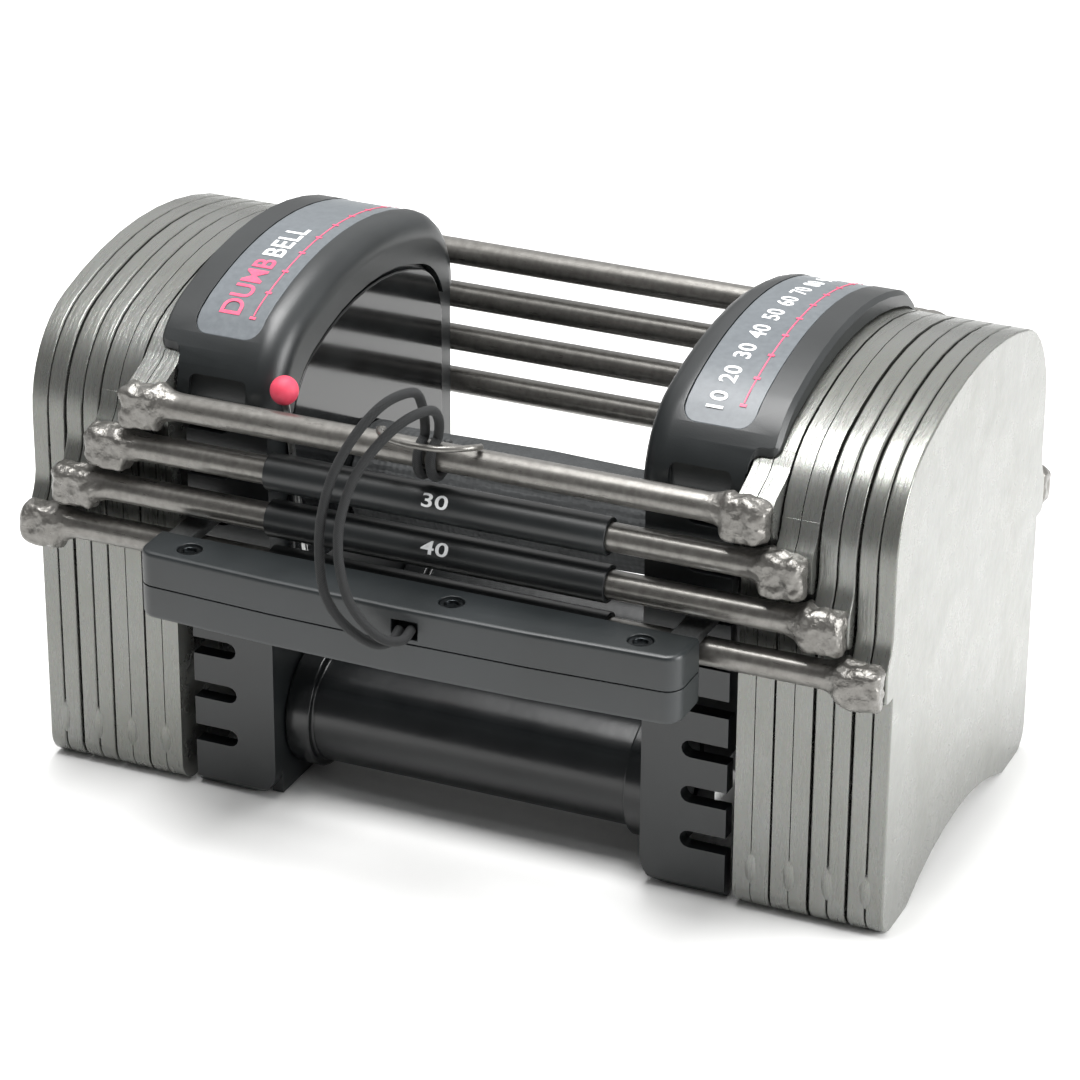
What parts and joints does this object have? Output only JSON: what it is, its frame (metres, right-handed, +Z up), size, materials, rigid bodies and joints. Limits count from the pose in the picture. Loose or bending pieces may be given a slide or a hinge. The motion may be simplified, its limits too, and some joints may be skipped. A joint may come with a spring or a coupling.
{
  "type": "adjustable dumbbell",
  "caption": "Adjustable dumbbell with nested weight layers, a lift-out gripped core, lock levers for adder weights and a tethered two-tine selector pin.",
  "frame": {"origin": "centre of the footprint at floor level, where the nested dumbbell stands", "axes": "+X along the handle to the right seen from the selector pin, -Y towards the selector pin, +Z up"},
  "size_m": [0.305, 0.2163, 0.181],
  "materials": {
    "plate_steel": "semi-gloss metallic grey paint over rolled steel plate",
    "rail_steel": "semi-gloss metallic grey paint over round bar and weld",
    "bright_steel": "plated steel",
    "black_moulding": "satin black moulded plastic",
    "gloss_black": "gloss black powder coat",
    "label_film": "grey printed label film",
    "grip_rubber": "matte textured rubber",
    "pink_ball": "matte pink-red dipped vinyl",
    "braided_cord": "dark braided elastic cord"
  },
  "bodies": {
    "layer_50": {"plate_50_left_inner": "plate_steel", "plate_50_left_outer": "plate_steel", "plate_50_right_inner": "plate_steel", "plate_50_right_outer": "plate_steel", "rail_50_front": "rail_steel", "rail_50_back": "rail_steel", "sleeve_50": "black_moulding"},
    "layer_40": {"plate_40_left_inner": "plate_steel", "plate_40_left_outer": "plate_steel", "plate_40_right_inner": "plate_steel", "plate_40_right_outer": "plate_steel", "rail_40_front": "rail_steel", "rail_40_back": "rail_steel", "sleeve_40": "black_moulding"},
    "layer_30": {"plate_30_left_inner": "plate_steel", "plate_30_left_outer": "plate_steel", "plate_30_right_inner": "plate_steel", "plate_30_right_outer": "plate_steel", "rail_30_front": "rail_steel", "rail_30_back": "rail_steel", "sleeve_30": "black_moulding"},
    "layer_20": {"plate_20_left_inner": "plate_steel", "plate_20_left_outer": "plate_steel", "plate_20_right_inner": "plate_steel", "plate_20_right_outer": "plate_steel", "rail_20_front": "rail_steel", "rail_20_back": "rail_steel", "cord_keeper": "bright_steel"},
    "core": {"end_frame_left": "black_moulding", "end_frame_right": "black_moulding", "cover_left": "black_moulding", "cover_right": "black_moulding", "label_plaque_left": "label_film", "label_plaque_right": "label_film", "inner_panel_left": "gloss_black", "inner_panel_right": "gloss_black", "handle_tube": "bright_steel", "handle_grip": "grip_rubber", "side_tube_front": "gloss_black", "side_tube_back": "gloss_black", "adder_weight_front": "bright_steel", "adder_weight_back": "bright_steel", "lever_stud_left": "bright_steel", "lever_stud_right": "bright_steel"},
    "lock_lever_left": {"lock_lever_left": "bright_steel", "lever_ball_left": "pink_ball"},
    "lock_lever_right": {"lock_lever_right": "bright_steel", "lever_ball_right": "pink_ball"},
    "selector_pin": {"pin_bar_upper": "black_moulding", "pin_bar_lower": "black_moulding", "pin_tine_left": "bright_steel", "pin_tine_right": "bright_steel", "pin_screw_1": "bright_steel", "pin_screw_2": "bright_steel", "pin_screw_3": "bright_steel", "tether_cord_left": "braided_cord", "tether_cord_right": "braided_cord"}
  },
  "joints": [
    {"name": "core_lift", "type": "slide", "parent": "layer_50", "child": "core", "axis": [0, 0, 1], "range_m": [0, 0.2]},
    {"name": "layer_20_lift", "type": "slide", "parent": "layer_50", "child": "layer_20", "axis": [0, 0, 1], "range_m": [0, 0.2]},
    {"name": "layer_30_lift", "type": "slide", "parent": "layer_50", "child": "layer_30", "axis": [0, 0, 1], "range_m": [0, 0.2]},
    {"name": "layer_40_lift", "type": "slide", "parent": "layer_50", "child": "layer_40", "axis": [0, 0, 1], "range_m": [0, 0.2]},
    {"name": "selector_pin_pull", "type": "slide", "parent": "core", "child": "selector_pin", "axis": [0, -1, 0], "range_m": [0, 0.16], "deforming": ["tether_cord_left", "tether_cord_right"]},
    {"name": "lock_lever_left_hinge", "type": "hinge", "parent": "core", "child": "lock_lever_left", "pos_m": [-0.0584, -0.04428, 0.064], "axis": [-1, 0, 0], "range_deg": [0, 35]},
    {"name": "lock_lever_right_hinge", "type": "hinge", "parent": "core", "child": "lock_lever_right", "pos_m": [0.0584, 0.06972, 0.064], "axis": [1, 0, 0], "range_deg": [0, 35]}
  ],
  "couplings": [
    {"joint": "layer_20_lift", "follows": "core_lift", "ratio": 1},
    {"joint": "layer_30_lift", "follows": "core_lift", "ratio": 1},
    {"joint": "layer_40_lift", "follows": "core_lift", "ratio": 1}
  ]
}
